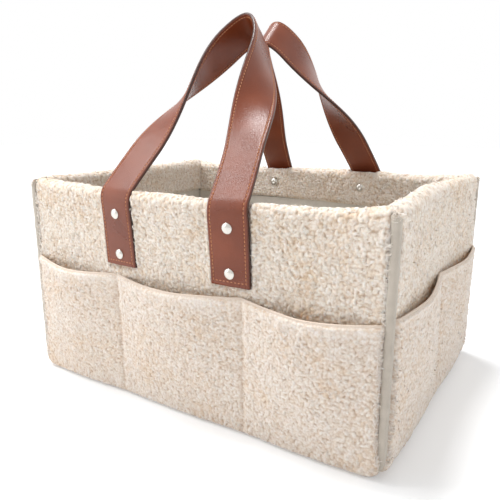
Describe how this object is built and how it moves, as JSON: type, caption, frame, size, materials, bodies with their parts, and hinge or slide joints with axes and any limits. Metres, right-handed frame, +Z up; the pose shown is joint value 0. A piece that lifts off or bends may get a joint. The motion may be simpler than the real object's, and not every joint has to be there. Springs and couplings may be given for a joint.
{
  "type": "diaper caddy",
  "caption": "Open-topped carrier of curly pile cloth over stiff boards, with outside pockets, strap handles riveted to the long walls and lift-out dividers.",
  "frame": {"origin": "centre of the base, on the surface the caddy stands on", "axes": "+X along the long side, +Y from the front wall to the back wall, +Z up"},
  "size_m": [0.3556, 0.2734, 0.3114],
  "materials": {
    "pile": "curly pile",
    "board": "matte",
    "lining": "plain weave",
    "binding": "plain weave",
    "strap": "smooth, fine grain",
    "rivet": "polished",
    "tape": "hook and loop"
  },
  "bodies": {
    "carrier": {"back_lining": "lining", "back_loop_tape_left": "tape", "back_loop_tape_right": "tape", "back_pocket_panel": "pile", "back_rivet_back_left_lower": "rivet", "back_rivet_back_left_upper": "rivet", "back_rivet_back_right_lower": "rivet", "back_rivet_back_right_upper": "rivet", "back_rivet_cap_left_lower": "rivet", "back_rivet_cap_left_upper": "rivet", "back_rivet_cap_right_lower": "rivet", "back_rivet_cap_right_upper": "rivet", "back_seam_binding": "binding", "back_sherpa_panel": "pile", "back_stiffener": "board", "back_strap_tail_left": "strap", "back_strap_tail_right": "strap", "base_board": "board", "base_panel": "binding", "floor_lining": "lining", "front_lining": "lining", "front_loop_tape_left": "tape", "front_loop_tape_right": "tape", "front_pocket_panel": "pile", "front_rivet_back_left_lower": "rivet", "front_rivet_back_left_upper": "rivet", "front_rivet_back_right_lower": "rivet", "front_rivet_back_right_upper": "rivet", "front_rivet_cap_left_lower": "rivet", "front_rivet_cap_left_upper": "rivet", "front_rivet_cap_right_lower": "rivet", "front_rivet_cap_right_upper": "rivet", "front_seam_binding": "binding", "front_sherpa_panel": "pile", "front_stiffener": "board", "front_strap_tail_left": "strap", "front_strap_tail_right": "strap", "left_lining": "lining", "left_pocket_panel": "pile", "left_sherpa_panel": "pile", "left_stiffener": "board", "right_lining": "lining", "right_pocket_panel": "pile", "right_sherpa_panel": "pile", "right_stiffener": "board"},
    "front_handle": {"front_handle": "strap"},
    "back_handle": {"back_handle": "strap"},
    "right_divider": {"right_divider_hook_back": "tape", "right_divider_hook_front": "tape", "right_divider_panel": "lining"},
    "left_divider": {"left_divider_hook_back": "tape", "left_divider_hook_front": "tape", "left_divider_panel": "lining"}
  },
  "joints": [
    {"name": "front_handle_swing", "type": "hinge", "parent": "carrier", "child": "front_handle", "pos_m": [0, -0.13001, 0.1707], "axis": [1, 0, 0], "range_deg": [0, 180]},
    {"name": "back_handle_swing", "type": "hinge", "parent": "carrier", "child": "back_handle", "pos_m": [0, 0.13001, 0.1707], "axis": [-1, 0, 0], "range_deg": [0, 180]},
    {"name": "right_divider_lift", "type": "slide", "parent": "carrier", "child": "right_divider", "axis": [0, 0, 1], "range_m": [0, 0.172]},
    {"name": "left_divider_lift", "type": "slide", "parent": "carrier", "child": "left_divider", "axis": [0, 0, 1], "range_m": [0, 0.172]}
  ]
}
